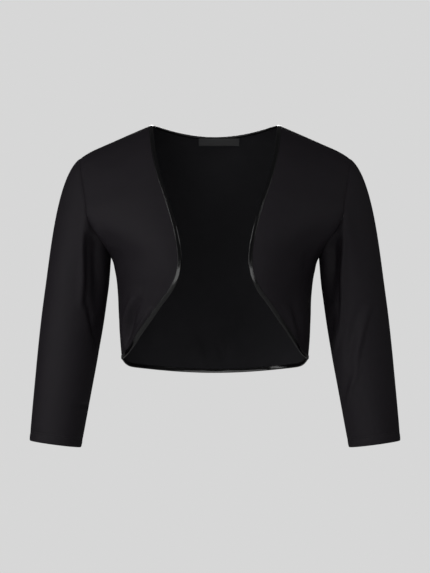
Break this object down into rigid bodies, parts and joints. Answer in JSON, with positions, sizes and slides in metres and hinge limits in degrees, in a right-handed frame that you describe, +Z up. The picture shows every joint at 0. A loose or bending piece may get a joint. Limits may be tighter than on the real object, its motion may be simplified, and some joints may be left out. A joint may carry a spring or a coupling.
{
  "type": "bolero jacket",
  "caption": "Cropped open-fronted bolero in black jersey with set-in three-quarter sleeves and a satin-bound curved edge, filled out as worn.",
  "frame": {"origin": "on the wearer's shoulders, midway between the two points where a shoulder seam meets the neckline", "axes": "+Z up, -Y out of the front, +X to the wearer's left"},
  "size_m": [0.5368, 0.2266, 0.4673],
  "materials": {
    "jersey": "matt fine-knit jersey, black",
    "satin_binding": "satin bias tape, black",
    "label_tape": "woven tape, black, left bare"
  },
  "bodies": {
    "root": {"back": "jersey", "front_left": "jersey", "front_right": "jersey", "sleeve_left": "jersey", "sleeve_right": "jersey", "binding_front_left": "satin_binding", "binding_front_right": "satin_binding", "binding_neck": "satin_binding", "binding_hem": "satin_binding", "neck_label": "label_tape"}
  },
  "joints": []
}
